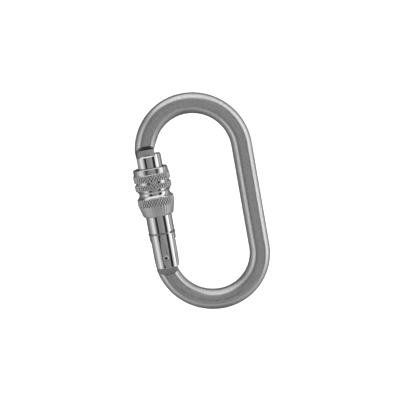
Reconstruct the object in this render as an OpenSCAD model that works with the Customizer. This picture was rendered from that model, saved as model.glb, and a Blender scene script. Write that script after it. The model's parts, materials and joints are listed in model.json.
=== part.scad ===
// Oval screw-lock carabiner: a bent bar body, a sprung hinged gate and a
// knurled locking sleeve that screws up over the nose.
// +Z runs along the long axis, the spine is on +X and the gate on -X.
// The origin is the load point, on the inside crest of the top bow.

/* [Body] */
// Overall length of the oval
body_length = 108; // [100:0.5:116]
// Mean centreline radius of the two bows
bow_radius = 23.55; // [22.5:0.05:24.5]
// How much tighter one half of each bow is, and wider the other
bow_skew = 0.8; // [0:0.1:1.2]
// Diameter of the bar before its flats are pressed
bar_diameter = 10.2; // [10:0.1:10.6]
// Thickness of the bar across its two flats
flat_thickness = 9.6; // [9.2:0.1:9.8]
// Thickness of the two milled tongues that enter the gate
tongue_thickness = 4.6; // [4:0.1:5]

/* [Nose] */
// Height of the nose tip above the middle of the body
nose_tip = 22.8; // [22.6:0.1:23]
// Height of the nose shoulder above the middle of the body
shoulder_height = 30; // [29.6:0.1:30.4]
// Slope of the nose shoulder, in degrees
shoulder_slope = 40; // [30:1:45]
// Distance from the gate's axis to the nose's inner face
nose_reach = 3.5; // [3.3:0.1:3.6]
// Taper of the nose's outer face towards its tip, in degrees
nose_taper = 5; // [3:0.5:6]

/* [Hinge] */
// Depth of the hinge axis below the middle of the body
hinge_depth = 23.3; // [23.1:0.1:23.6]
// Radius of the hinge rivet
rivet_radius = 1.5; // [1.3:0.05:1.6]
// Radius of the concave lower shoulder, about the hinge
heel_radius = 8.7; // [8.5:0.1:8.9]
// Radius of the hinge knuckle's head
knuckle_radius = 4.2; // [4:0.1:4.3]
// Eccentricity of that head, which is the cam that lifts the plunger
cam_offset = 1.2; // [0.8:0.1:1.3]

/* [Gate] */
// Distance of the gate's axis from the middle of the body
gate_offset = 22.45; // [22.3:0.05:22.7]
// Radius of the gate from the stop ring up, where the sleeve slides
gate_slide_radius = 6.42; // [6.3:0.01:6.42]
// Radius of the gate below the stop ring
gate_base_radius = 6.45; // [6.42:0.01:6.6]
// Distance of the hinge end's side flats from the gate's axis
hinge_flat = 5.93; // [5.8:0.01:6]
// Distance of those flats from the axis at the gate's foot
foot_flat = 5.6; // [5.4:0.05:5.8]
// Distance of the flat on the nose end's outer side from the axis
nose_flat = 5.6; // [5.5:0.05:5.8]
// Height of the two upper ears
ear_top = 27.1; // [26.9:0.1:27.3]
// Height of the wall behind the nose
hood_top = 27.7; // [27.5:0.1:27.9]
// Play between a slot's wall and the tongue in it
slot_play = 0.15; // [0.1:0.05:0.2]

/* [Sleeve] */
// Height of the sleeve's top rim, half way along its travel
sleeve_top = 21.15; // [21:0.05:21.4]
// Length of the sleeve
sleeve_length = 23.75; // [23.6:0.05:23.9]
// Radius over the knurled bands
knurl_radius = 9; // [8.8:0.05:9.2]
// Radius of the plain top rim
rim_radius = 8.55; // [8.5:0.05:8.8]
// Radius at the bottom of the finger groove
waist_radius = 7.5; // [7.4:0.05:7.6]
// Radial running clearance of the sleeve on the gate
sleeve_play = 0.08; // [0.05:0.01:0.1]

/* [Hidden] */
$fn = 96;
eps = 0.01;
over = 1;
far = 40;

// Body
bar_radius = bar_diameter / 2;
tight_radius = bow_radius - bow_skew;
wide_radius = bow_radius + bow_skew;
crest_line = body_length / 2 - bar_radius;
tight_end = crest_line - tight_radius;
wide_end = crest_line - wide_radius;
crest_height = crest_line - bar_radius;
half_tongue = tongue_thickness / 2;

// Nose
relief_drop = 0.7;
relief_rise = 3.2;
relief_slope = 25;
relief_edge = 0.25;
taper_top = 30.2;

// Hinge and cam
running_play = 0.06;
knuckle_tangent = 22;
heel_low = 6.6;
knuckle_top = -hinge_depth + knuckle_radius;
floor_room = 0.9;

// Gate, measured from the middle of the body
half_slot = half_tongue + slot_play;
gate_bottom = -28.4;
foot_taper_top = -24;
flat_top = -15.4;
flat_rise = 1.2;
nose_flat_bottom = 19;
ring_height = -11.3;
ring_wire = 0.32;
ring_groove = 0.35;
ring_groove_radius = 6.1;
nose_slot_floor = nose_tip - 0.7;
hood_wall = nose_reach + 0.2;
hood_round = 1;
hinge_slot_floor = knuckle_top + floor_room;
chamfer = 0.35;

// Latch
latch_height = 25.5;
latch_radius = 1;
latch_play = 0.35;
latch_front = -4.4;
latch_back = 6;

// Spring and plunger
bore_radius = 2.38;
plunger_radius = 2.32;
plunger_gap = 0.05;
plunger_bottom = knuckle_top + plunger_gap;
plunger_head = 4.4;
spigot_radius = 1.1;
spigot_length = 3.2;
spring_bottom = plunger_bottom + plunger_head;
spring_top = -2;
spring_wire = 0.28;
spring_coil = 1.85;
spring_turns = 10;
spring_sides = 6;
spring_steps = 12;

// Sleeve, as depths below its top rim
lip_depth = 3.05;
groove_start = 6.4;
groove_end = 7.6;
groove_radius = 8.2;
waist_start = 10.4;
waist_end = 14.55;
waist_hollow = 0.2;
taper_start = 17.55;
taper_radius = 7.6;
edge_round = 0.7;
rim_bore = 7.3;
thread_start = 10.4;
thread_end = 14.4;
slide_bore = 6.62;
rim_bore_round = 0.15;

// Drag ring, inside the sleeve
drag_depth = 15.2;
drag_section = 0.33;
drag_centre = 6.78;
drag_room = 0.03;

// Moves a shape drawn about the middle of the body to the load point
module from_crest() {
    translate([0, 0, -crest_height]) children();
}

// Moves a shape drawn about the gate's axis to that axis
module on_gate() {
    from_crest() translate([-gate_offset, 0, 0]) children();
}

// Turns a flat outline in X and Z into a slab centred on Y
module slab(thickness) {
    rotate([90, 0, 0]) linear_extrude(thickness, center = true) children();
}

// A round hole or pin along Y from one depth to another
module along_y(radius, from, to) {
    translate([0, to, 0]) rotate([90, 0, 0]) cylinder(r = radius, h = to - from);
}

// Section of the bar: round, with a pressed flat on each face
module bar_section() {
    intersection() {
        circle(r = bar_radius);
        square([bar_diameter + over, flat_thickness], center = true);
    }
}

module straight_bar(x, from, to) {
    translate([x, 0, from]) linear_extrude(to - from) bar_section();
}

// Quarter ring in the XZ plane, from the crest round to one straight
module quarter_bow(radius) {
    rotate([90, 0, 0]) rotate_extrude(angle = 90) translate([radius, 0]) bar_section();
}

// The top bow: tight on the gate's side, wide on the spine's side
module top_bow() {
    translate([-bow_skew, 0, wide_end]) quarter_bow(wide_radius);
    translate([-bow_skew, 0, tight_end]) mirror([1, 0, 0]) quarter_bow(tight_radius);
}

// The whole bent bar before its ends are milled
module bent_bar() {
    straight_bar(bow_radius, -tight_end, wide_end);
    straight_bar(-bow_radius, nose_tip, tight_end);
    straight_bar(-bow_radius, -wide_end, knuckle_top);
    top_bow();
    rotate([0, 180, 0]) top_bow();
}

// What is milled off both faces to leave the nose tongue
module nose_cheeks() {
    depth = bar_radius;
    rise = (depth - half_tongue) * tan(shoulder_slope);
    for (side = [0, 1])
        mirror([0, side, 0])
            translate([-gate_offset, 0, 0])
                rotate([90, 0, 90])
                    linear_extrude(bar_diameter * 2, center = true)
                        polygon([
                            [half_tongue, nose_tip - over],
                            [half_tongue, shoulder_height],
                            [depth, shoulder_height + rise],
                            [depth, nose_tip - over]
                        ]);
}

// The step on the nose's inner side, where the gate's hood closes. It
// runs out of the bar in a slope.
module nose_step() {
    low = shoulder_height - relief_drop;
    face = nose_reach - gate_offset;
    slab(bar_diameter * 2)
        polygon([
            [face, nose_tip - over],
            [face, low],
            [face + relief_rise * tan(relief_slope), low + relief_rise],
            [0, low + relief_rise],
            [0, nose_tip - over]
        ]);
}

// The taper on the nose's outer side
module nose_outer_relief() {
    edge = -bow_radius - bar_radius + relief_edge;
    run = (taper_top - nose_tip + over) * tan(nose_taper);
    slab(bar_diameter * 2)
        polygon([
            [edge, taper_top],
            [edge + run, nose_tip - over],
            [edge - bar_radius, nose_tip - over],
            [edge - bar_radius, taper_top]
        ]);
}

// The open notch that the latch pin swings into
module latch_notch() {
    seat = latch_radius + latch_play;
    translate([-gate_offset, 0, latch_height]) {
        along_y(seat, -half_tongue - over, half_tongue + over);
        translate([0, -half_tongue - over, -seat])
            cube([bar_radius, tongue_thickness + over * 2, seat * 2 - latch_play / 2]);
    }
}

// What is milled off both faces about the hinge
module hinge_cheeks() {
    for (side = [0, 1])
        mirror([0, side, 0])
            translate([-gate_offset, half_tongue, -hinge_depth]) {
                rotate([-90, 0, 0]) cylinder(r = heel_radius, h = bar_diameter);
                translate([-heel_radius, 0, 0]) cube([heel_radius * 2, bar_diameter, heel_radius]);
            }
}

// Side outline of the hinge knuckle: an eccentric head with a tangent heel
module knuckle_outline() {
    reach = heel_radius + over;
    run_x = cam_offset - knuckle_radius * cos(knuckle_tangent);
    run_z = knuckle_radius * sin(knuckle_tangent);
    foot = run_x - (run_z + reach) * tan(knuckle_tangent);
    translate([cam_offset, 0]) circle(r = knuckle_radius);
    polygon([
        [foot, -reach],
        [run_x, run_z],
        [cam_offset, 0],
        [reach + cam_offset, 0],
        [reach + cam_offset, -reach]
    ]);
}

// What is milled round the knuckle's outline
module knuckle_waste() {
    translate([-gate_offset, 0, -hinge_depth])
        slab(bar_diameter * 2)
            difference() {
                translate([-heel_radius - over, -heel_low])
                    square([(heel_radius + over) * 2, heel_low + heel_radius]);
                knuckle_outline();
            }
}

module body() {
    color("darkgray")
        from_crest()
            difference() {
                bent_bar();
                nose_cheeks();
                nose_step();
                nose_outer_relief();
                latch_notch();
                hinge_cheeks();
                knuckle_waste();
                translate([-gate_offset, 0, -hinge_depth])
                    along_y(rivet_radius + running_play, -bar_diameter, bar_diameter);
            }
}

// Half section of the turned gate
module gate_profile() {
    polygon([
        [0, gate_bottom],
        [gate_base_radius - chamfer, gate_bottom],
        [gate_base_radius, gate_bottom + chamfer],
        [gate_base_radius, ring_height - ring_groove],
        [ring_groove_radius, ring_height - ring_groove],
        [ring_groove_radius, ring_height + ring_groove],
        [gate_slide_radius, ring_height + ring_groove],
        [gate_slide_radius, hood_top],
        [0, hood_top]
    ]);
}

// The slot for the nose, open outwards and upwards, and the low ears
module nose_slot() {
    translate([-far, -half_slot, nose_slot_floor]) cube([far + hood_wall, half_slot * 2, far]);
    translate([-far, -far / 2, ear_top]) cube([far + hood_wall, far, far]);
}

// Waste outside the hood's rounded top corner
module hood_corner() {
    translate([gate_slide_radius - hood_round, 0, hood_top - hood_round])
        slab(far)
            difference() {
                square(hood_round + over);
                circle(r = hood_round);
            }
}

// Waste outside the flat on the nose end's outer side
module nose_flat_waste() {
    translate([-far - nose_flat, -far / 2, nose_flat_bottom]) cube(far);
}

// Waste outside the two flats on the sides of the hinge end
module hinge_flat_waste() {
    for (side = [0, 1])
        mirror([side, 0, 0])
            slab(far)
                polygon([
                    [foot_flat, gate_bottom - over],
                    [foot_flat, gate_bottom],
                    [hinge_flat, foot_taper_top],
                    [hinge_flat, flat_top],
                    [gate_base_radius + eps, flat_top + flat_rise],
                    [gate_base_radius + over, flat_top + flat_rise],
                    [gate_base_radius + over, gate_bottom - over]
                ]);
}

// The slot for the hinge knuckle, open on both sides
module hinge_slot() {
    translate([-far, -half_slot, gate_bottom - over])
        cube([far * 2, half_slot * 2, hinge_slot_floor - gate_bottom + over]);
}

// Rivet hole with a countersink at each end
module rivet_hole() {
    along_y(rivet_radius + eps, -far / 2, far / 2);
    for (side = [0, 1])
        mirror([0, side, 0])
            translate([0, gate_base_radius - chamfer, 0])
                rotate([-90, 0, 0])
                    cylinder(r1 = rivet_radius, r2 = rivet_radius + chamfer * 2, h = chamfer * 2);
}

module gate() {
    color("gainsboro")
        on_gate()
            difference() {
                rotate_extrude() gate_profile();
                nose_slot();
                hood_corner();
                nose_flat_waste();
                hinge_flat_waste();
                hinge_slot();
                translate([0, 0, -hinge_depth]) rivet_hole();
                translate([0, 0, latch_height]) along_y(latch_radius + eps, latch_front - eps, far / 2);
                translate([0, 0, hinge_slot_floor - over])
                    cylinder(r = bore_radius, h = spring_top - hinge_slot_floor + over);
            }
}

// Rivet through both lower ears, a little below their surface
module hinge_rivet() {
    half_length = gate_base_radius - chamfer * 1.5;
    color("silver")
        on_gate()
            translate([0, 0, -hinge_depth]) along_y(rivet_radius, -half_length, half_length);
}

// Cross pin of the nose slot, pressed in from the back
module latch_pin() {
    color("silver")
        on_gate()
            translate([0, 0, latch_height]) along_y(latch_radius, latch_front, latch_back);
}

// Open wire ring that stops the sleeve on its way down
module stop_ring() {
    gap = 14;
    gap_centre = -54;
    color("dimgray")
        on_gate()
            translate([0, 0, ring_height])
                rotate([0, 0, gap_centre + gap / 2])
                    rotate_extrude(angle = 360 - gap)
                        translate([ring_groove_radius + ring_groove, 0]) circle(r = ring_wire);
}

// Flat-footed plunger that rides on the knuckle's eccentric head
module spring_plunger() {
    color("goldenrod")
        on_gate()
            translate([0, 0, plunger_bottom]) {
                cylinder(r = plunger_radius, h = plunger_head);
                cylinder(r = spigot_radius, h = plunger_head + spigot_length);
            }
}

// One ring of points round the spring's wire at a given turn
function wire_ring(turn, rise) = [
    for (side = [0 : spring_sides - 1])
        let (
            around = 360 * side / spring_sides,
            out = spring_coil + spring_wire * cos(around)
        )
        [out * cos(360 * turn), out * sin(360 * turn), rise + spring_wire * sin(around)]
];

// Compression spring: a swept helix between the plunger and the bore's end
module gate_spring() {
    rings = spring_turns * spring_steps;
    low = spring_bottom + spring_wire + eps;
    high = spring_top - spring_wire - eps;
    points = [
        for (ring = [0 : rings])
            each wire_ring(ring / spring_steps, low + (high - low) * ring / rings)
    ];
    sides = [
        for (ring = [0 : rings - 1])
            for (side = [0 : spring_sides - 1])
                let (
                    here = ring * spring_sides,
                    next = (side + 1) % spring_sides
                )
                [here + side, here + spring_sides + side, here + spring_sides + next, here + next]
    ];
    first = [for (side = [0 : spring_sides - 1]) side];
    last = [for (side = [spring_sides - 1 : -1 : 0]) rings * spring_sides + side];
    color("slategray") on_gate() polyhedron(points, concat([first], sides, [last]));
}

// Thin friction ring in the sleeve's bore, a light drag on the gate
module drag_ring() {
    color("black")
        on_gate()
            translate([0, 0, sleeve_top - drag_depth])
                rotate_extrude() translate([drag_centre, 0]) circle(r = drag_section, $fn = 32);
}

// Outer outline of the sleeve, from the bottom up, as depths below the rim
module sleeve_outline() {
    waist_mid = (waist_start + waist_end) / 2;
    waist_run = (waist_end - waist_start) / 2;
    polygon([
        [0, -sleeve_length],
        [taper_radius - edge_round, -sleeve_length],
        [taper_radius, -sleeve_length + edge_round],
        [knurl_radius, -taper_start],
        [knurl_radius, -waist_end],
        [waist_radius + waist_hollow, -waist_mid - waist_run / 3],
        [waist_radius, -waist_mid],
        [waist_radius + waist_hollow, -waist_mid + waist_run / 3],
        [knurl_radius, -waist_start],
        [knurl_radius, -groove_end],
        [groove_radius, -groove_end],
        [groove_radius, -groove_start],
        [knurl_radius, -groove_start],
        [knurl_radius, -lip_depth],
        [rim_radius, -lip_depth],
        [rim_radius, -edge_round],
        [rim_radius - edge_round, 0],
        [0, 0]
    ]);
}

// Threaded sleeve: a wide top bore, the threaded waist and a sliding bore
module lock_sleeve() {
    color("lightgray")
        on_gate()
            translate([0, 0, sleeve_top])
                difference() {
                    rotate_extrude() sleeve_outline();
                    translate([0, 0, -thread_start]) cylinder(r = rim_bore, h = thread_start + over);
                    translate([0, 0, -thread_end - over])
                        cylinder(
                            r = gate_slide_radius + sleeve_play,
                            h = thread_end - thread_start + over * 2
                        );
                    translate([0, 0, -sleeve_length - over])
                        cylinder(r = slide_bore, h = sleeve_length - thread_end + over);
                    translate([0, 0, -rim_bore_round])
                        cylinder(r1 = rim_bore, r2 = rim_bore + rim_bore_round * 2, h = rim_bore_round * 2);
                    translate([0, 0, -drag_depth])
                        rotate_extrude()
                            translate([drag_centre - over, -drag_section - drag_room])
                                square([drag_section + drag_room + over, (drag_section + drag_room) * 2]);
                }
}

body();
gate();
hinge_rivet();
latch_pin();
stop_ring();
spring_plunger();
gate_spring();
drag_ring();
lock_sleeve();
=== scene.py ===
"""Looks of an oval screw-lock carabiner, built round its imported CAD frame.

Lengths are in millimetres until the world and camera; MM turns them into the frame's metres.
The body is drawn about the middle of the oval, the gate's pieces about the gate's axis.
"""
import json
import math

import bmesh
import bpy
import numpy as np
from mathutils import Matrix, Quaternion, Vector
from mathutils.bvhtree import BVHTree


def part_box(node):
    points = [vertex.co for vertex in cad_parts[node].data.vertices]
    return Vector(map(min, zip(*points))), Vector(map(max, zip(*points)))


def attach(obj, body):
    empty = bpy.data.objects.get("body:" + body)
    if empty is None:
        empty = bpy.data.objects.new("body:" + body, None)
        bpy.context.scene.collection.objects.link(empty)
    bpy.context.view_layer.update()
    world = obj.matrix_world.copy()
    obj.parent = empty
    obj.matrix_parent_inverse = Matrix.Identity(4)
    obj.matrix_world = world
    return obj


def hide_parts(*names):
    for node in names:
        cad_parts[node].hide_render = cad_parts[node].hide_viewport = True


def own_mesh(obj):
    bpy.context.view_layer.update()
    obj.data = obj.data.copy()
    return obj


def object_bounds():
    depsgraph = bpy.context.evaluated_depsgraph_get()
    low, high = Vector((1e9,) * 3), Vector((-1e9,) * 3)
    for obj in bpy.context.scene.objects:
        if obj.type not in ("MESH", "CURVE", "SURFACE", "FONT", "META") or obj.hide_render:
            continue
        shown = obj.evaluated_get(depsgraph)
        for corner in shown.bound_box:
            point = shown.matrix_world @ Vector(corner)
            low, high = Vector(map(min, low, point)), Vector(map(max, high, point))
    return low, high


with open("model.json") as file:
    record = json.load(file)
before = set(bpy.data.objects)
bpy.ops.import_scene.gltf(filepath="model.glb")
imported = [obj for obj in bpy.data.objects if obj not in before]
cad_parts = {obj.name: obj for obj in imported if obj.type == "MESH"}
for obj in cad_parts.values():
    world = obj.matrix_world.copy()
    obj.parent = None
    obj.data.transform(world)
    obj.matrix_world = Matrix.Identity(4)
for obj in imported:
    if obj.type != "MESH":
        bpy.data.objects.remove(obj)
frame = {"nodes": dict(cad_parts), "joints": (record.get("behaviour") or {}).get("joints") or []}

CAD_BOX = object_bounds()
MM = 0.001

# ---------------------------------------------------------------- sizes from the frame

BODY_LOW, BODY_HIGH = (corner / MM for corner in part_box("body"))
GATE_LOW, GATE_HIGH = (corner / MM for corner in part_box("gate"))
SLEEVE_LOW, SLEEVE_HIGH = (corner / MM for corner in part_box("lock_sleeve"))
RING_LOW, RING_HIGH = (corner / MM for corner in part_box("stop_ring"))
RIVET_LOW, RIVET_HIGH = (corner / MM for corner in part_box("hinge_rivet"))
PIN_LOW, PIN_HIGH = (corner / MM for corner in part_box("latch_pin"))
SPRING_LOW, SPRING_HIGH = (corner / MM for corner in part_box("gate_spring"))
JOINTS = {joint["name"]: joint for joint in frame["joints"]}
HINGE = Vector(JOINTS["gate_open"]["pos_m"]) / MM

# The oval: its middle, the bar and the two bows
MIDDLE_Z = (BODY_LOW.z + BODY_HIGH.z) / 2
BAR_RADIUS = BODY_HIGH.z / 2
HALF_FLAT = BODY_HIGH.y
BOW_RADIUS = BODY_HIGH.x - BAR_RADIUS
BOW_SKEW = 0.8
TIGHT_RADIUS, WIDE_RADIUS = BOW_RADIUS - BOW_SKEW, BOW_RADIUS + BOW_SKEW
CREST_LINE = (BODY_HIGH.z - BODY_LOW.z) / 2 - BAR_RADIUS
TIGHT_END, WIDE_END = CREST_LINE - TIGHT_RADIUS, CREST_LINE - WIDE_RADIUS
GATE_X = HINGE.x
HINGE_Z = HINGE.z - MIDDLE_Z


def up(z):
    """A height in the row frame, in millimetres, measured from the oval's middle."""
    return z - MIDDLE_Z


# ---------------------------------------------------------------- mesh helpers


def make_object(name, vertices, faces, centre=(0, 0, 0), sharp=35):
    """A mesh object from points in millimetres about centre, with smooth shading and sharp edges."""
    points = (np.asarray(vertices, float) + np.asarray(centre, float)) * MM
    mesh = bpy.data.meshes.new(name)
    mesh.from_pydata(points.tolist(), [], faces)
    mesh.validate()
    item = bpy.data.objects.new(name, mesh)
    bpy.context.scene.collection.objects.link(item)
    face_outwards(item)
    smooth(item, sharp)
    return item


def face_outwards(item):
    """Makes every face of a closed mesh point out."""
    work = bmesh.new()
    work.from_mesh(item.data)
    bmesh.ops.recalc_face_normals(work, faces=work.faces)
    work.to_mesh(item.data)
    work.free()


def smooth(item, sharp):
    """Smooth shading, with a hard edge where faces meet at more than sharp degrees."""
    item.data.polygons.foreach_set("use_smooth", [True] * len(item.data.polygons))
    item.data.set_sharp_from_angle(angle=math.radians(sharp))


def grid_faces(rows, columns, close_rows=False, close_columns=True):
    """Quads of a grid of points stored row by row."""
    faces = []
    for row in range(rows if close_rows else rows - 1):
        below, above = row * columns, (row + 1) % rows * columns
        for column in range(columns if close_columns else columns - 1):
            after = (column + 1) % columns
            faces.append((below + column, below + after, above + after, above + column))
    return faces


def capped(faces, rows, columns):
    """The same tube with a flat cap on its first and last ring."""
    first = tuple(range(columns))[::-1]
    last = tuple(range((rows - 1) * columns, rows * columns))
    return faces + [first, last]


def prism(name, outline, low, high, axis="Y", centre=(0, 0, 0)):
    """A closed prism. The outline is in X and Z for axis Y, or in Y and Z for axis X."""
    place = {"Y": lambda a, b, t: (a, t, b), "X": lambda a, b, t: (t, a, b)}[axis]
    points = [place(a, b, low) for a, b in outline] + [place(a, b, high) for a, b in outline]
    count = len(outline)
    faces = capped(grid_faces(2, count), 2, count)
    return make_object(name, points, faces, centre)


def arc(centre, radius, start, stop, steps):
    """Points along an arc, with angles in degrees."""
    turns = np.radians(np.linspace(start, stop, steps))
    return [(centre[0] + radius * math.cos(a), centre[1] + radius * math.sin(a)) for a in turns]


def solid_lathe(name, profile, columns, centre=(0, 0, 0)):
    """Turns a profile of (radius, height) points about Z, with flat caps on its first and last ring."""
    turns = np.linspace(0, 2 * math.pi, columns, endpoint=False)
    points = [(r * math.cos(a), r * math.sin(a), z) for r, z in profile for a in turns]
    faces = capped(grid_faces(len(profile), columns), len(profile), columns)
    return make_object(name, points, faces, centre)


def turn_to_y(item, centre):
    """Lays a lathe piece made about Z onto the Y axis through centre."""
    for vertex in item.data.vertices:
        x, y, z = vertex.co
        vertex.co = (x, z, -y)
    item.data.transform(Matrix.Translation(Vector(centre) * MM))
    face_outwards(item)
    return item


def bake_modifiers(item):
    """Applies every modifier on the piece."""
    graph = bpy.context.evaluated_depsgraph_get()
    mesh = bpy.data.meshes.new_from_object(item.evaluated_get(graph), depsgraph=graph)
    item.modifiers.clear()
    item.data = mesh
    return item


def cut(item, *cutters):
    """Takes each closed cutter away from the piece, and removes the cutter."""
    for cutter in cutters:
        step = item.modifiers.new("cut", "BOOLEAN")
        step.operation = "DIFFERENCE"
        step.solver = "MANIFOLD"
        step.object = cutter
        bake_modifiers(item)
        bpy.data.objects.remove(cutter)
    return item


def ease_edges(item, width, limit=38, segments=2, sharp=35):
    """Merges flat facets, then rounds what is left of the hard edges."""
    work = bmesh.new()
    work.from_mesh(item.data)
    bmesh.ops.remove_doubles(work, verts=work.verts, dist=0.004 * MM)
    bmesh.ops.dissolve_limit(
        work, angle_limit=math.radians(0.2), verts=work.verts, edges=work.edges, delimit={"NORMAL"}
    )
    work.to_mesh(item.data)
    work.free()
    bevel = item.modifiers.new("ease", "BEVEL")
    bevel.width = width * MM
    bevel.segments = segments
    bevel.limit_method = "ANGLE"
    bevel.angle_limit = math.radians(limit)
    bevel.use_clamp_overlap = True
    bake_modifiers(item)
    smooth(item, sharp)
    return item


# ---------------------------------------------------------------- materials


def node_material(name):
    """A new node material, with its nodes and links."""
    material = bpy.data.materials.new(name)
    material.use_nodes = True
    return material, material.node_tree.nodes, material.node_tree.links


def add(nodes, kind, **values):
    """Adds a shader node and sets its properties and its input sockets by name."""
    node = nodes.new(kind)
    for key, value in values.items():
        if hasattr(node, key):
            setattr(node, key, value)
        else:
            node.inputs[key.replace("_", " ")].default_value = value
    return node


def ramp(nodes, stops):
    """A colour ramp with stops of (position, grey or colour)."""
    node = nodes.new("ShaderNodeValToRGB")
    elements = node.color_ramp.elements
    while len(elements) < len(stops):
        elements.new(0.5)
    for element, (position, colour) in zip(elements, stops):
        element.position = position
        element.color = (*colour, 1) if isinstance(colour, tuple) else (colour, colour, colour, 1)
    return node


BUMP_DEPTH = 0.02
CROSSWISE, LENGTHWISE, TURNED_LINES = (4, 1, 1), (1, 1, 0.08), (1, 1, 3)


def metal(name, dark, light, rough_low, rough_high, patch, grain, stretch=(1, 1, 1), bump=0.1):
    """Bare metal: patchy tone, grain in roughness, and a fine bump. Scales are in periods per metre."""
    material, nodes, links = node_material(name)
    shader = nodes["Principled BSDF"]
    shader.inputs["Metallic"].default_value = 1.0
    place = add(nodes, "ShaderNodeTexCoord")
    spread = add(nodes, "ShaderNodeMapping")
    spread.inputs["Scale"].default_value = stretch
    links.new(place.outputs["Object"], spread.inputs["Vector"])
    clouds = add(nodes, "ShaderNodeTexNoise", Scale=patch, Detail=4.0, Roughness=0.6)
    links.new(spread.outputs["Vector"], clouds.inputs["Vector"])
    tone = ramp(nodes, [(0.3, dark), (0.7, light)])
    links.new(clouds.outputs["Fac"], tone.inputs["Fac"])
    links.new(tone.outputs["Color"], shader.inputs["Base Color"])
    fine = add(nodes, "ShaderNodeTexNoise", Scale=grain, Detail=3.0, Roughness=0.55)
    links.new(spread.outputs["Vector"], fine.inputs["Vector"])
    rough = add(
        nodes, "ShaderNodeMapRange", From_Min=0.3, From_Max=0.7, To_Min=rough_low, To_Max=rough_high
    )
    links.new(fine.outputs["Fac"], rough.inputs["Value"])
    links.new(rough.outputs["Result"], shader.inputs["Roughness"])
    relief = add(nodes, "ShaderNodeBump", Strength=bump, Distance=BUMP_DEPTH * MM)
    links.new(fine.outputs["Fac"], relief.inputs["Height"])
    links.new(relief.outputs["Normal"], shader.inputs["Normal"])
    return material


FORGED = metal("forged_alloy", 0.74, 0.92, 0.28, 0.42, 900, 1500, bump=0.5)
MILLED = metal("milled_alloy", 0.82, 0.92, 0.10, 0.18, 400, 2600, CROSSWISE)
# painted shade: a darker copy of the milled metal for the recessed milled faces round the hinge
PAINTED_SHADE_HEEL = metal("milled_heel_painted_shade", 0.52, 0.68, 0.2, 0.3, 400, 2600, CROSSWISE, bump=0.2)
# painted shade: a dark copy of the milled metal for the downward sloped nose shoulder
SHADED = metal("shaded_shoulder", 0.2, 0.28, 0.2, 0.3, 400, 2600, CROSSWISE)
POLISHED = metal("polished_alloy", 0.88, 0.93, 0.05, 0.09, 120, 3000, LENGTHWISE, bump=0.03)
KNURLED = metal("knurled_alloy", 0.95, 0.99, 0.3, 0.4, 300, 3200, TURNED_LINES, bump=0.05)
# painted shade and grime: near-black metal on the knurl's valley bottoms, standing in for both the shade deep
# in the valleys and grime in them
VALLEY_GRIME_AND_SHADE = metal("knurl_valley_grime_and_shade", 0.03, 0.06, 0.3, 0.4, 600, 3200)
TURNED = metal("turned_alloy", 0.82, 0.92, 0.19, 0.27, 300, 3200, TURNED_LINES)
BLASTED = metal("blasted_alloy", 0.80, 0.90, 0.38, 0.48, 600, 2400, bump=0.3)
# painted shade: a near-black metal put inside the sleeve's bore and the rivets' drilled holes, where there is
# only shade
PAINTED_BORE_SHADE = metal("painted_shade_in_bores", 0.03, 0.06, 0.4, 0.6, 500, 3000, (1, 1, 5))
STEEL = metal("steel_pin", 0.55, 0.66, 0.2, 0.32, 300, 4000)
WIRE = metal("spring_steel", 0.42, 0.56, 0.18, 0.3, 400, 4000)
BRASS = metal("brass_plunger", (0.62, 0.45, 0.2), (0.8, 0.6, 0.3), 0.2, 0.34, 300, 4000)


def rubber_material():
    """Matt black rubber with a fine uneven grain."""
    material, nodes, links = node_material("black_rubber")
    shader = nodes["Principled BSDF"]
    place = add(nodes, "ShaderNodeTexCoord")
    fine = add(nodes, "ShaderNodeTexNoise", Scale=1800.0, Detail=3.0)
    links.new(place.outputs["Object"], fine.inputs["Vector"])
    tone = ramp(nodes, [(0.3, 0.012), (0.7, 0.03)])
    links.new(fine.outputs["Fac"], tone.inputs["Fac"])
    links.new(tone.outputs["Color"], shader.inputs["Base Color"])
    rough = add(nodes, "ShaderNodeMapRange", To_Min=0.55, To_Max=0.8)
    links.new(fine.outputs["Fac"], rough.inputs["Value"])
    links.new(rough.outputs["Result"], shader.inputs["Roughness"])
    return material


RUBBER = rubber_material()


def finish_piece(item, material, body, node):
    """Gives a piece its material and body, and hides the CAD node that it stands in for."""
    item.data.materials.clear()
    item.data.materials.append(material)
    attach(item, body)
    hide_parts(node)
    return item


# ---------------------------------------------------------------- body

SECTION_POINTS = 96
BOW_STATIONS = 61
CLEAR = 12
SECTION_CRISPNESS = 34
HALF_TONGUE = 2.3
SHOULDER_Z = 30.0
SHOULDER_SLOPE = math.radians(40)
NOSE_TIP = 22.8
NOSE_TAPER = math.radians(5)
TAPER_TOP = 30.2
TAPER_EDGE = 0.25
RELIEF_LOW = 29.3
RELIEF_RISE = 3.2
RELIEF_SLOPE = math.radians(25)
NOSE_FACE = 3.5
HEEL_RADIUS = 8.7
HEEL_LOW = 6.6
KNUCKLE_RADIUS = 4.2
CAM_OFFSET = 1.2
KNUCKLE_TANGENT = math.radians(22)
RUNNING_PLAY = 0.06
LATCH_PLAY = 0.35
MILLED_DEPTH = 0.2


def section_radius(turn):
    """Radius of the bar's section: a circle whose two flats blend softly into it."""
    flat = abs(math.sin(turn)) / HALF_FLAT
    return (BAR_RADIUS ** -SECTION_CRISPNESS + flat ** SECTION_CRISPNESS) ** (-1 / SECTION_CRISPNESS)


def bow_stations(middle_x, middle_z, radius, start, stop):
    """Stations round a quarter of a bow, with angles in degrees."""
    ways = [(math.cos(a), math.sin(a)) for a in np.radians(np.linspace(start, stop, BOW_STATIONS))]
    return [(middle_x + radius * x, middle_z + radius * z, x, z) for x, z in ways]


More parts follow.
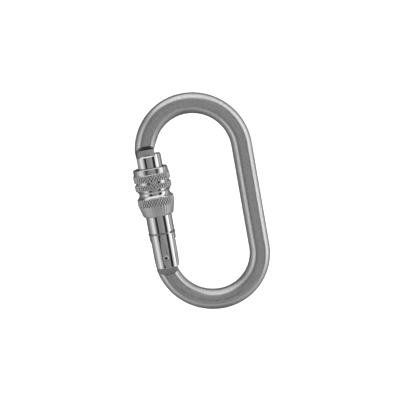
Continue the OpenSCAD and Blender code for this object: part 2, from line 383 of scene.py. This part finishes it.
def bar_path():
    """Centreline stations (x, z, outward x, outward z) from the nose tip round to the knuckle's top."""
    stations = [(-BOW_RADIUS, z, -1, 0) for z in np.linspace(NOSE_TIP, TIGHT_END, 6)[:-1]]
    stations += bow_stations(-BOW_SKEW, TIGHT_END, TIGHT_RADIUS, 180, 90)
    stations += bow_stations(-BOW_SKEW, WIDE_END, WIDE_RADIUS, 90, 0)[1:]
    stations += [(BOW_RADIUS, z, 1, 0) for z in np.linspace(WIDE_END, -TIGHT_END, 30)[1:-1]]
    stations += bow_stations(BOW_SKEW, -TIGHT_END, TIGHT_RADIUS, 0, -90)
    stations += bow_stations(BOW_SKEW, -WIDE_END, WIDE_RADIUS, -90, -180)[1:]
    top = HINGE_Z + KNUCKLE_RADIUS
    stations += [(-BOW_RADIUS, z, -1, 0) for z in np.linspace(-WIDE_END, top, 6)[1:]]
    return stations


def bent_bar():
    """The whole bent and pressed bar, before it is milled."""
    turns = np.linspace(0, 2 * math.pi, SECTION_POINTS, endpoint=False)
    section = [(section_radius(a) * math.cos(a), section_radius(a) * math.sin(a)) for a in turns]
    stations = bar_path()
    points = [(x + out * nx, y, z + out * nz) for x, z, nx, nz in stations for out, y in section]
    faces = capped(grid_faces(len(stations), SECTION_POINTS), len(stations), SECTION_POINTS)
    return make_object("body_shell", points, faces, (0, 0, MIDDLE_Z))


def nose_cutters():
    """The milled cheeks, the step for the hood and the latch notch."""
    side = BAR_RADIUS + 1
    rise = (side - HALF_TONGUE) * math.tan(SHOULDER_SLOPE)
    cheek = [
        (HALF_TONGUE, NOSE_TIP - 1), (HALF_TONGUE, SHOULDER_Z),
        (side, SHOULDER_Z + rise), (side, NOSE_TIP - 1),
    ]
    axis = (0, 0, MIDDLE_Z)
    low_x, high_x = GATE_X - CLEAR, GATE_X + CLEAR
    front = prism("cheek", [(-y, z) for y, z in cheek], low_x, high_x, "X", axis)
    back = prism("cheek", cheek, low_x, high_x, "X", axis)
    step_x = GATE_X + NOSE_FACE
    slope_x = step_x + RELIEF_RISE * math.tan(RELIEF_SLOPE)
    step = prism("step", [
        (step_x, NOSE_TIP - 1), (step_x, RELIEF_LOW), (slope_x, RELIEF_LOW + RELIEF_RISE),
        (step_x + CLEAR, RELIEF_LOW + RELIEF_RISE), (step_x + CLEAR, NOSE_TIP - 1),
    ], -side, side, "Y", axis)
    edge_x = -BOW_RADIUS - BAR_RADIUS + TAPER_EDGE
    run = (TAPER_TOP - NOSE_TIP + 1) * math.tan(NOSE_TAPER)
    outer = prism("outer", [
        (edge_x, TAPER_TOP), (edge_x + run, NOSE_TIP - 1),
        (edge_x - CLEAR, NOSE_TIP - 1), (edge_x - CLEAR, TAPER_TOP),
    ], -side, side, "Y", axis)
    seat = (PIN_HIGH.x - PIN_LOW.x) / 2 + LATCH_PLAY
    pin_z = up((PIN_LOW.z + PIN_HIGH.z) / 2)
    mouth = pin_z + seat - LATCH_PLAY / 2
    notch = prism("notch", [
        *arc((GATE_X, pin_z), seat, 90, 270, 17),
        (GATE_X + 2.2, pin_z - seat), (GATE_X + 3.0, pin_z - seat + 0.25),
        (GATE_X + CLEAR, pin_z - seat + 0.1), (GATE_X + CLEAR, mouth), (GATE_X + 1, mouth),
    ], -side, side, "Y", axis)
    return front, back, step, outer, notch


def hinge_cutters():
    """The cheeks milled concentric with the hinge, the waste round the knuckle, and the rivet's bore."""
    axis = (GATE_X, 0, HINGE.z)
    side = BAR_RADIUS + 1
    cheek = arc((0, 0), HEEL_RADIUS, -180, 0, 61) + [(HEEL_RADIUS, HEEL_RADIUS), (-HEEL_RADIUS, HEEL_RADIUS)]
    front = prism("cheek", cheek, -side, -HALF_TONGUE, "Y", axis)
    back = prism("cheek", cheek, HALF_TONGUE, side, "Y", axis)
    tangent = math.degrees(KNUCKLE_TANGENT)
    run = arc((CAM_OFFSET, 0), KNUCKLE_RADIUS, 180 - tangent, 0, 40)
    foot = run[0][0] - (run[0][1] + HEEL_LOW) * math.tan(KNUCKLE_TANGENT)
    right = CAM_OFFSET + KNUCKLE_RADIUS
    waste = [(foot, -HEEL_LOW), *run, (right, -HEEL_LOW), (CLEAR, -HEEL_LOW)]
    waste += [(CLEAR, CLEAR), (-CLEAR, CLEAR), (-CLEAR, -HEEL_LOW)]
    outline = prism("outline", waste, -side, side, "Y", axis)
    bore = (RIVET_HIGH.x - RIVET_LOW.x) / 2 + RUNNING_PLAY
    hole = prism("bore", arc((0, 0), bore, 0, 352.5, 48), -side, side, "Y", axis)
    return front, back, outline, hole


def make_body():
    """The bar with its milled ends. Faces well below the bar's skin are milled ones."""
    shell = bent_bar()
    skin = BVHTree.FromObject(shell, bpy.context.evaluated_depsgraph_get())
    item = cut(shell, *nose_cutters(), *hinge_cutters())
    ease_edges(item, 0.14)
    finish_piece(item, FORGED, "frame_body", "body")
    for material in (MILLED, PAINTED_SHADE_HEEL, SHADED):
        item.data.materials.append(material)
    # milled faces below the middle get the darker copy as painted shade; downward sloped shoulder faces above
    # it get the dark shaded copy
    for face in item.data.polygons:
        if skin.find_nearest(face.center)[3] > MILLED_DEPTH * MM:
            upper = face.center.z / MM > MIDDLE_Z
            sloped = upper and abs(face.normal.y) > 0.3 and face.normal.z < -0.3
            face.material_index = 3 if sloped else 1 if upper else 2
    return item


# ---------------------------------------------------------------- gate

GATE_COLUMNS = 144
NEAR_AXIS = 0.001
WIDE = 9
SLOT_PLAY = 0.15
HALF_SLOT = HALF_TONGUE + SLOT_PLAY
EAR_TOP = 27.1
HOOD_WALL = NOSE_FACE + 0.2
EAR_CHAMFER = 0.55
HOOD_ROUND = 1.0
GATE_SLIDE_RADIUS = 6.42
GATE_BASE_RADIUS = 6.45
HINGE_FLAT = 5.93
FOOT_FLAT = 5.6
FOOT_TAPER_TOP = -24.0
FLAT_TOP = -15.4
FLAT_RISE = 1.2
NOSE_FLAT = 5.6
NOSE_FLAT_BOTTOM = 19.0
RING_GROOVE = 0.35
GROOVE_RADIUS = 6.1
THREAD_LOW = -1.6
THREAD_HIGH = 18.5
THREAD_LEAD = 2.0
THREAD_DEPTH = 0.42
THREAD_ROWS_PER_TURN = 14
EAR_COLUMNS = 96
BORE_COLUMNS = 48
BORE_RADIUS = 2.38


def thread_cut(turn, z):
    """Depth of the helical groove at an angle and height, fading out at both ends of the thread."""
    phase = ((z - THREAD_LEAD * turn / (2 * math.pi)) / THREAD_LEAD) % 1.0
    wedge = max(0.0, 1 - abs(phase - 0.5) / 0.36)
    fade = min(1.0, (z - THREAD_LOW) / THREAD_LEAD, (THREAD_HIGH - z) / THREAD_LEAD)
    return THREAD_DEPTH * min(1.0, wedge * 1.25) * max(0.0, fade)


def gate_rows():
    """Rows (radius, height) of the turned gate from its foot to its top."""
    ring_z = up((RING_LOW.z + RING_HIGH.z) / 2)
    foot, top = up(GATE_LOW.z), up(GATE_HIGH.z)
    rows = [(GATE_BASE_RADIUS - 0.3, foot), (GATE_BASE_RADIUS - 0.08, foot + 0.09)]
    rows += [(GATE_BASE_RADIUS, foot + 0.3)]
    rows += [(GATE_BASE_RADIUS, z) for z in np.linspace(FOOT_TAPER_TOP, ring_z - RING_GROOVE - 0.1, 12)]
    rows += [(GATE_BASE_RADIUS - 0.1, ring_z - RING_GROOVE), (GROOVE_RADIUS, ring_z - RING_GROOVE)]
    rows += [(GROOVE_RADIUS, ring_z + RING_GROOVE), (GATE_SLIDE_RADIUS - 0.1, ring_z + RING_GROOVE)]
    rows += [(GATE_SLIDE_RADIUS, ring_z + RING_GROOVE + 0.1)]
    count = int((THREAD_HIGH - THREAD_LOW) / THREAD_LEAD * THREAD_ROWS_PER_TURN)
    rows += [(GATE_SLIDE_RADIUS, z) for z in np.linspace(THREAD_LOW, THREAD_HIGH, count)]
    rows += [(GATE_SLIDE_RADIUS, top - 0.5), (GATE_SLIDE_RADIUS - 0.15, top - 0.15)]
    return rows + [(GATE_SLIDE_RADIUS - 0.5, top)]


def turned_gate():
    """The round gate with its thread, before anything is cut out of it."""
    turns = np.linspace(0, 2 * math.pi, GATE_COLUMNS, endpoint=False)
    rows = gate_rows()
    points = []
    for radius, z in rows:
        for turn in turns:
            r = radius - thread_cut(turn, z) if THREAD_LOW < z < THREAD_HIGH else radius
            points.append((r * math.cos(turn), r * math.sin(turn), z))
    faces = capped(grid_faces(len(rows), GATE_COLUMNS), len(rows), GATE_COLUMNS)
    return make_object("gate_shell", points, faces, (GATE_X, 0, MIDDLE_Z))


def nose_slot(axis, top):
    """The slot that the body's nose lies in, open to the outside and closed by the hood."""
    floor_z = NOSE_TIP - 0.7
    corner = arc((HOOD_WALL - 1, floor_z + 1), 1, -90, 0, 7)
    return prism("slot", [(-WIDE, floor_z), *corner, (HOOD_WALL, top + 2), (-WIDE, top + 2)],
                 -HALF_SLOT, HALF_SLOT, "Y", axis)


def ears_waste(axis, top):
    """What is turned off above the chamfered ears, as far as the hood."""
    drop = WIDE - GATE_SLIDE_RADIUS + EAR_CHAMFER
    section = [(NEAR_AXIS, EAR_TOP), (GATE_SLIDE_RADIUS - EAR_CHAMFER, EAR_TOP)]
    section += [(GATE_SLIDE_RADIUS, EAR_TOP - EAR_CHAMFER), (WIDE, EAR_TOP - drop)]
    section += [(WIDE, top + 2), (NEAR_AXIS, top + 2)]
    turns = np.linspace(0, 2 * math.pi, EAR_COLUMNS, endpoint=False)
    points = [(min(r * math.cos(a), HOOD_WALL), r * math.sin(a), z) for r, z in section for a in turns]
    return make_object("ears", points, grid_faces(len(section), EAR_COLUMNS, close_rows=True), axis)


def hood_waste(axis, top):
    """Rounds the hood's upper outer edge."""
    corner = arc((GATE_SLIDE_RADIUS - HOOD_ROUND, top - HOOD_ROUND), HOOD_ROUND, 0, 90, 13)
    return prism("hood", [
        (GATE_SLIDE_RADIUS + 1, top - HOOD_ROUND), *corner,
        (GATE_SLIDE_RADIUS - HOOD_ROUND, top + 1), (GATE_SLIDE_RADIUS + 1, top + 1),
    ], -WIDE, WIDE, "Y", axis)


def hinge_flat(side, foot, axis):
    """Waste outside one of the flats on the sides of the gate's hinge end."""
    outline = [(FOOT_FLAT, foot - 1), (FOOT_FLAT, foot), (HINGE_FLAT, FOOT_TAPER_TOP), (HINGE_FLAT, FLAT_TOP)]
    shoulder_z = FLAT_TOP + FLAT_RISE
    outline += [(GATE_BASE_RADIUS + 0.01, shoulder_z), (WIDE, shoulder_z), (WIDE, foot - 1)]
    return prism("flat", [(side * x, z) for x, z in outline], -WIDE, WIDE, "Y", axis)


def gate_cutters():
    """Everything cut out of the turned gate."""
    axis = (GATE_X, 0, MIDDLE_Z)
    foot, top = up(GATE_LOW.z), up(GATE_HIGH.z)
    nose_flat = prism("flat", [
        (-NOSE_FLAT, NOSE_FLAT_BOTTOM), (-NOSE_FLAT, top + 2), (-WIDE, top + 2), (-WIDE, NOSE_FLAT_BOTTOM),
    ], -WIDE, WIDE, "Y", axis)
    side_flats = [hinge_flat(side, foot, axis) for side in (-1, 1)]
    slot_top = HINGE_Z + KNUCKLE_RADIUS + 0.9
    hinge_slot = prism("slot", [(-WIDE, foot - 1), (-WIDE, slot_top), (WIDE, slot_top), (WIDE, foot - 1)],
                       -HALF_SLOT, HALF_SLOT, "Y", axis)
    rivet = (RIVET_HIGH.x - RIVET_LOW.x) / 2 + 0.01
    rivet_hole = solid_lathe("hole", [(rivet, -7.0), (rivet, 7.0)], BORE_COLUMNS)
    pin = (PIN_HIGH.x - PIN_LOW.x) / 2
    pin_hole = solid_lathe(
        "hole", [(pin, PIN_LOW.y), (pin, 6.05), (pin + 0.15, 6.2), (pin + 1, 7.05)], BORE_COLUMNS
    )
    turn_to_y(rivet_hole, (GATE_X, 0, HINGE.z))
    turn_to_y(pin_hole, (GATE_X, 0, (PIN_LOW.z + PIN_HIGH.z) / 2))
    bore = [(BORE_RADIUS, slot_top - 1), (BORE_RADIUS, up(SPRING_HIGH.z) + 0.01)]
    spring_bore = solid_lathe("bore", bore, 64, axis)
    return [
        nose_slot(axis, top), ears_waste(axis, top), hood_waste(axis, top), nose_flat, *side_flats,
        hinge_slot, rivet_hole, pin_hole, spring_bore,
    ]


def make_gate():
    """The turned, threaded and slotted gate."""
    item = cut(turned_gate(), *gate_cutters())
    ease_edges(item, 0.16, limit=50)
    return finish_piece(item, POLISHED, "gate_arm", "gate")


# ---------------------------------------------------------------- sleeve

SLEEVE_LENGTH = SLEEVE_HIGH.z - SLEEVE_LOW.z
KNURL_RADIUS = SLEEVE_HIGH.y - 0.01
KNURLS_AROUND = 40
KNURL_COLUMNS = KNURLS_AROUND * 12
KNURL_DEPTH = 0.22
KNURL_RISE = 2.3
KNURL_BANDS = ((3.05, 6.4), (7.6, 10.3), (14.6, 18.8))
KNURL_SHARPNESS = 1.8
# faces whose knurl drops more than this share of its depth get the painted shade and grime
VALLEY_SHARE = 0.62
ROW_STEP = 0.125
RIM_RADIUS = 8.55
RIM_BORE = 7.36
GROOVE = 7.0
GROOVE_BOTTOM = 8.2
GROOVE_HALF = 0.68
WAIST = 12.47
WAIST_RADIUS = 7.5
WAIST_HALF = 2.1
DRAG_RING = 15.2


def sleeve_outside():
    """Outer outline of the sleeve as (depth below the rim, radius) points."""
    outline = [(0, 7.95), (0.05, 8.15), (0.2, 8.38), (0.45, 8.5), (0.7, RIM_RADIUS), (2.8, RIM_RADIUS)]
    outline += [(2.95, RIM_RADIUS + 0.1), (3.1, KNURL_RADIUS), (6.3, KNURL_RADIUS)]
    for share in np.linspace(-1, 1, 17):
        outline.append((GROOVE + GROOVE_HALF * share, GROOVE_BOTTOM + 0.75 * share ** 4))
    outline += [(7.7, KNURL_RADIUS), (10.25, KNURL_RADIUS), (10.4, KNURL_RADIUS - 0.12)]
    for share in np.linspace(-1, 1, 25)[1:-1]:
        outline.append((WAIST + WAIST_HALF * share, WAIST_RADIUS + 1.3 * abs(share) ** 1.7))
    outline += [(14.5, KNURL_RADIUS - 0.12), (14.65, KNURL_RADIUS), (17.5, KNURL_RADIUS)]
    outline += [(17.75, KNURL_RADIUS - 0.04), (22.9, 7.64), (23.2, 7.5), (23.45, 7.3), (23.65, 7.05)]
    return outline + [(SLEEVE_LENGTH, 6.9)]


def sleeve_inside():
    """Bore of the sleeve from the bottom up: sliding bore, ring groove, thread, and the wide rim bore."""
    groove_low, groove_high = DRAG_RING + 0.36, DRAG_RING - 0.36
    return [
        (SLEEVE_LENGTH, 6.8), (SLEEVE_LENGTH - 0.15, 6.62), (groove_low, 6.62), (groove_low, 7.14),
        (groove_high, 7.14), (groove_high, 6.62), (14.5, 6.62), (14.35, 6.5), (10.5, 6.5), (10.3, 7.3),
        (0.12, 7.3), (0, 7.42),
    ]


def knurl_drop(turn, depth):
    """How far the diamond knurl falls below the band's surface at an angle and depth."""
    strength = max(min(1.0, (depth - low) / 0.25, (high - depth) / 0.25) for low, high in KNURL_BANDS)
    if strength <= 0:
        return 0.0
    along = depth / KNURL_RISE
    around = turn / (2 * math.pi) * KNURLS_AROUND
    first = abs((around + along) % 1.0 - 0.5) * 2
    second = abs((around - along) % 1.0 - 0.5) * 2
    return KNURL_DEPTH * strength * (1 - min(1.0, min(first, second) * KNURL_SHARPNESS))


def sleeve_rows():
    """Rows (depth, radius, whether outside) round the sleeve's closed half section, dense in the knurl."""
    outside = sleeve_outside()
    depths = np.array([depth for depth, _ in outside])
    radii = np.array([radius for _, radius in outside])
    steps = np.arange(0, SLEEVE_LENGTH, ROW_STEP)
    extra = [d for low, high in KNURL_BANDS for d in steps if low + 0.1 < d < high - 0.05]
    every = np.array(sorted(set(np.round(np.concatenate([depths, extra]), 3))))
    rows = [(d, float(np.interp(d, depths, radii)), True) for d in every]
    return rows + [(d, r, False) for d, r in sleeve_inside()]


def sleeve_face_slot(radius, turn, depth):
    """Which of the sleeve's materials a face has: knurl, bore (painted shade), rim, taper, plain groove or
    knurl valley (painted shade and grime).
    """
    # the sleeve's bore gets the near-black painted shade
    if radius < RIM_BORE and depth < SLEEVE_LENGTH - 0.6:
        return 1
    if depth < KNURL_BANDS[0][0]:
        return 2
    if depth > KNURL_BANDS[-1][1]:
        return 3
    if not any(low <= depth <= high for low, high in KNURL_BANDS):
        return 4
    # deep valley faces get the painted shade and grime, the rest the plain knurl
    return 5 if knurl_drop(turn, depth) > VALLEY_SHARE * KNURL_DEPTH else 0


def make_sleeve():
    """The knurled sleeve, as one closed surface of dense rows."""
    turns = np.linspace(0, 2 * math.pi, KNURL_COLUMNS, endpoint=False)
    rows = sleeve_rows()
    points = []
    for depth, radius, outer in rows:
        for turn in turns:
            r = radius - knurl_drop(turn, depth) if outer else radius
            points.append((r * math.cos(turn), r * math.sin(turn), -depth))
    faces = grid_faces(len(rows), KNURL_COLUMNS, close_rows=True)
    item = make_object("sleeve_shell", points, faces, (GATE_X, 0, SLEEVE_HIGH.z), sharp=55)
    finish_piece(item, KNURLED, "sleeve", "lock_sleeve")
    for material in (PAINTED_BORE_SHADE, TURNED, BLASTED, POLISHED, VALLEY_GRIME_AND_SHADE):
        item.data.materials.append(material)
    for face in item.data.polygons:
        x, y, z = face.center / MM
        radius, turn = math.hypot(x - GATE_X, y), math.atan2(y, x - GATE_X)
        face.material_index = sleeve_face_slot(radius, turn, SLEEVE_HIGH.z - z)
    return item


# ---------------------------------------------------------------- small pieces


def tube_along(name, centres, outs, wire, sides, centre):
    """A round wire swept along points, whose sections lie in Z and the point's outward direction."""
    turns = np.linspace(0, 2 * math.pi, sides, endpoint=False)
    rise = np.array((0, 0, 1))
    points = []
    for middle, out in zip(centres, outs):
        for turn in turns:
            spoke = np.array(out) * math.cos(turn) + rise * math.sin(turn)
            points.append(np.array(middle) + wire * spoke)
    faces = capped(grid_faces(len(centres), sides), len(centres), sides)
    return make_object(name, points, faces, centre)


RING_GAP = math.radians(7)
RING_MOUTH = math.radians(-54)
RIVET_HOLE = 0.56
SPRING_WIRE = 0.28
SPRING_TURNS = 10
SPRING_STEPS = 24
CLOSED_ENDS = 0.045


def make_stop_ring():
    """The open wire ring, whose ends part at the front right."""
    wire = (RING_HIGH.z - RING_LOW.z) / 2
    radius = RING_HIGH.y - wire
    turns = np.linspace(RING_MOUTH + RING_GAP, RING_MOUTH + 2 * math.pi - RING_GAP, 120)
    centres = [(radius * math.cos(a), radius * math.sin(a), 0) for a in turns]
    outs = [(math.cos(a), math.sin(a), 0) for a in turns]
    middle = (GATE_X, 0, (RING_LOW.z + RING_HIGH.z) / 2)
    item = tube_along("stop_ring_wire", centres, outs, wire, 10, middle)
    return finish_piece(item, WIRE, "gate_arm", "stop_ring")


def make_rivet():
    """The hinge rivet: each end is domed round a drilled hole."""
    radius, half = (RIVET_HIGH.x - RIVET_LOW.x) / 2, RIVET_HIGH.y
    end = [(0.02, -0.6), (0.5, -0.6), (0.52, 0.62), (0.6, 0.72), (0.78, 0.78), (0.98, 0.74), (1.2, 0.6)]
    end += [(1.38, 0.38), (radius, 0.15), (radius, -0.1)]
    profile = [(r, -half - z) for r, z in end] + [(r, half + z) for r, z in reversed(end)]
    item = turn_to_y(solid_lathe("hinge_rivet_peened", profile, 48), (GATE_X, 0, HINGE.z))
    finish_piece(item, POLISHED, "gate_arm", "hinge_rivet")
    # the drilled hole in each rivet end gets the near-black painted shade
    item.data.materials.append(PAINTED_BORE_SHADE)
    for face in item.data.polygons:
        middle = face.center / MM
        face.material_index = int(math.hypot(middle.x - GATE_X, middle.z - HINGE.z) < RIVET_HOLE)
    return item


def make_latch_pin():
    """The round cross pin, with eased ends."""
    radius = (PIN_HIGH.x - PIN_LOW.x) / 2
    low, high = PIN_LOW.y, PIN_HIGH.y
    profile = [(radius - 0.2, low), (radius, low + 0.2), (radius, high - 0.25), (radius - 0.08, high - 0.1),
               (radius - 0.3, high - 0.02), (0.02, high)]
    item = solid_lathe("latch_pin_round", profile, 40)
    turn_to_y(item, (GATE_X, 0, (PIN_LOW.z + PIN_HIGH.z) / 2))
    return finish_piece(item, STEEL, "gate_arm", "latch_pin")


def make_spring():
    """The gate's spring: a round wire helix with closed end turns."""
    low, high = SPRING_LOW.z + SPRING_WIRE, SPRING_HIGH.z - SPRING_WIRE
    radius = SPRING_HIGH.y - SPRING_WIRE
    centres, outs = [], []
    for share in np.linspace(0, 1, SPRING_TURNS * SPRING_STEPS + 1):
        angle = 2 * math.pi * SPRING_TURNS * share
        rise = share - CLOSED_ENDS * math.sin(2 * math.pi * share)
        outs.append((math.cos(angle), math.sin(angle), 0))
        centres.append((radius * math.cos(angle), radius * math.sin(angle), low + (high - low) * rise))
    item = tube_along("gate_spring_coil", centres, outs, SPRING_WIRE, 8, (GATE_X, 0, 0))
    finish_piece(item, WIRE, "gate_arm", "gate_spring")
    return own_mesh(item)


def dress_cad_node(node, material, bevel):
    """Keeps a CAD node and gives it a material and softened edges."""
    item = frame["nodes"][node]
    item.data.materials.clear()
    item.data.materials.append(material)
    if bevel:
        soft = item.modifiers.new("ease", "BEVEL")
        soft.width = bevel * MM
        soft.segments = 2
        soft.limit_method = "ANGLE"
        soft.angle_limit = math.radians(50)


make_body()
make_gate()
make_sleeve()
make_stop_ring()
make_rivet()
make_latch_pin()
make_spring()
dress_cad_node("spring_plunger", BRASS, 0.15)
dress_cad_node("drag_ring", RUBBER, 0)

# ---------------------------------------------------------------- stage, light and camera

OBJECT_MIDDLE = Vector((0, 0, MIDDLE_Z)) * MM
FLOOR_DROP = 0.06
FLOOR_END = 1.2
COVE = 0.8


def make_stage():
    """A plain white floor that curves up into a backdrop and isn't mirrored in the metal."""
    low = CAD_BOX[0][2] - FLOOR_DROP
    outline = [(-3.0, low), (FLOOR_END, low)]
    for turn in np.radians(np.linspace(5, 90, 18)):
        outline.append((FLOOR_END + COVE * math.sin(turn), low + COVE - COVE * math.cos(turn)))
    outline.append((FLOOR_END + COVE, low + 4.0))
    points = [(x, y, z) for y, z in outline for x in (-4.0, 4.0)]
    faces = [(2 * i, 2 * i + 1, 2 * i + 3, 2 * i + 2) for i in range(len(outline) - 1)]
    mesh = bpy.data.meshes.new("studio_floor")
    mesh.from_pydata(points, [], faces)
    item = bpy.data.objects.new("studio_floor", mesh)
    bpy.context.scene.collection.objects.link(item)
    smooth(item, 60)
    material, nodes, _ = node_material("studio_paper")
    shader = nodes["Principled BSDF"]
    shader.inputs["Base Color"].default_value = (0.9, 0.9, 0.9, 1)
    shader.inputs["Roughness"].default_value = 0.9
    shader.inputs["Emission Color"].default_value = (1, 1, 1, 1)
    shader.inputs["Emission Strength"].default_value = 0.7
    item.data.materials.append(material)
    item.visible_glossy = False


def maths(nodes, links, operation, first, second=None):
    """The result of a maths node on sockets or numbers."""
    node = nodes.new("ShaderNodeMath")
    node.operation = operation
    for socket, value in zip(node.inputs, (first, second)):
        if value is None:
            continue
        if isinstance(value, (int, float)):
            socket.default_value = value
        else:
            links.new(value, socket)
    return node.outputs[0]


# Greys of the studio's walls by the angle round from the front, and of the ground by its lift, in degrees
RIGHT_WALL = (
    (0, 0.25), (14, 0.29), (31, 0.34), (37, 0.025), (54, 0.025), (62, 0.66), (74, 1.1), (84, 1.3),
    (92, 0.9), (104, 0.66), (120, 0.3), (145, 0.16), (180, 0.12),
)
LEFT_WALL = (
    (0, 0.25), (17, 0.24), (21, 0.025), (33, 0.025), (45, 0.4), (57, 0.66), (67, 0.86),
    (78, 0.66), (89, 0.4), (101, 0.3), (116, 0.18), (140, 0.12), (180, 0.12),
)
GROUND = ((-90, 0.1), (-76, 0.14), (-62, 0.42), (-40, 0.42), (0, 0.42), (90, 0.42))


def tones(nodes, links, angle, stops, low, high):
    """A grey that follows an angle in radians, from stops in degrees between low and high."""
    node = ramp(nodes, [((degrees - low) / (high - low), value) for degrees, value in stops])
    share = add(nodes, "ShaderNodeMapRange", From_Min=math.radians(low), From_Max=math.radians(high))
    links.new(angle, share.inputs["Value"])
    links.new(share.outputs["Result"], node.inputs["Fac"])
    return node.outputs["Color"]


def blend_colours(nodes, links, share, first, second):
    """Mixes two greys, each a socket or a number, by a share."""
    node = nodes.new("ShaderNodeMix")
    node.data_type = "RGBA"
    links.new(share, node.inputs["Factor"])
    for socket, value in ((node.inputs[6], first), (node.inputs[7], second)):
        if isinstance(value, float):
            socket.default_value = (value, value, value, 1)
        else:
            links.new(value, socket)
    return node.outputs[2]


def between(nodes, links, value, low, high, start=0.0, stop=1.0):
    """A soft step of a value that runs from start to stop as it goes from low to high."""
    node = add(nodes, "ShaderNodeMapRange", From_Min=low, From_Max=high, To_Min=start, To_Max=stop)
    node.interpolation_type = "SMOOTHSTEP"
    links.new(value, node.inputs["Value"])
    return node.outputs["Result"]


def make_light():
    """Soft studio light: a bright wall on each side, a bright ceiling, a dim back and a grey floor."""
    world = bpy.data.worlds.new("studio")
    bpy.context.scene.world = world
    world.use_nodes = True
    nodes, links = world.node_tree.nodes, world.node_tree.links
    place = add(nodes, "ShaderNodeTexCoord")
    axes = add(nodes, "ShaderNodeSeparateXYZ")
    links.new(place.outputs["Generated"], axes.inputs[0])
    across, depth, height = axes.outputs
    towards = maths(nodes, links, "MULTIPLY", depth, -1.0)
    turn = maths(nodes, links, "ABSOLUTE", maths(nodes, links, "ARCTAN2", across, towards))
    lift = maths(nodes, links, "ARCSINE", height)
    right = tones(nodes, links, turn, RIGHT_WALL, 0, 180)
    left = tones(nodes, links, turn, LEFT_WALL, 0, 180)
    low_right = between(nodes, links, lift, math.radians(-35), math.radians(-12), 0.8, 1.0)
    high_left = between(nodes, links, lift, math.radians(14), math.radians(45), 1.0, 0.6)
    right = blend_colours(nodes, links, low_right, 0.0, right)
    left = blend_colours(nodes, links, high_left, 0.0, left)
    walls = blend_colours(nodes, links, between(nodes, links, across, -0.02, 0.02), left, right)
    ground = tones(nodes, links, lift, GROUND, -90, 90)
    before = between(nodes, links, depth, -0.12, 0.12, 1.0, 0.0)
    low = between(nodes, links, lift, math.radians(-45), math.radians(-28), 1.0, 0.0)
    walls = blend_colours(nodes, links, maths(nodes, links, "MULTIPLY", low, before), walls, ground)
    forward = between(nodes, links, depth, 0.15, 0.55, 1.0, 0.0)
    overhead = between(nodes, links, lift, math.radians(42), math.radians(58))
    ceiling = maths(nodes, links, "MULTIPLY", forward, overhead)
    sky = blend_colours(nodes, links, ceiling, walls, 0.88)
    links.new(sky, nodes["Background"].inputs["Color"])


CAMERA_DISTANCE = 0.565
CAMERA_RISE = 0.070
CAMERA_ROLL = math.radians(-10.2)
CAMERA_SLIDE = (-0.00138, 0.00086)
FRAME_WIDTH = 0.1959
SENSOR = 36


def make_camera():
    """A long lens on the front, a little above the middle, leaning so that the object leans left."""
    data = bpy.data.cameras.new("camera")
    data.sensor_width = SENSOR
    data.lens = SENSOR * CAMERA_DISTANCE / FRAME_WIDTH
    item = bpy.data.objects.new("camera", data)
    bpy.context.scene.collection.objects.link(item)
    depth = math.sqrt(CAMERA_DISTANCE ** 2 - CAMERA_RISE ** 2)
    from_middle = Vector((0, -depth, CAMERA_RISE))
    item.rotation_mode = "QUATERNION"
    item.rotation_quaternion = (-from_middle).to_track_quat("-Z", "Y") @ Quaternion((0, 0, 1), CAMERA_ROLL)
    slide = item.rotation_quaternion @ Vector((*CAMERA_SLIDE, 0))
    item.location = OBJECT_MIDDLE + from_middle + slide
    bpy.context.scene.camera = item


make_stage()
make_light()
make_camera()
bpy.context.scene.view_settings.view_transform = "Standard"
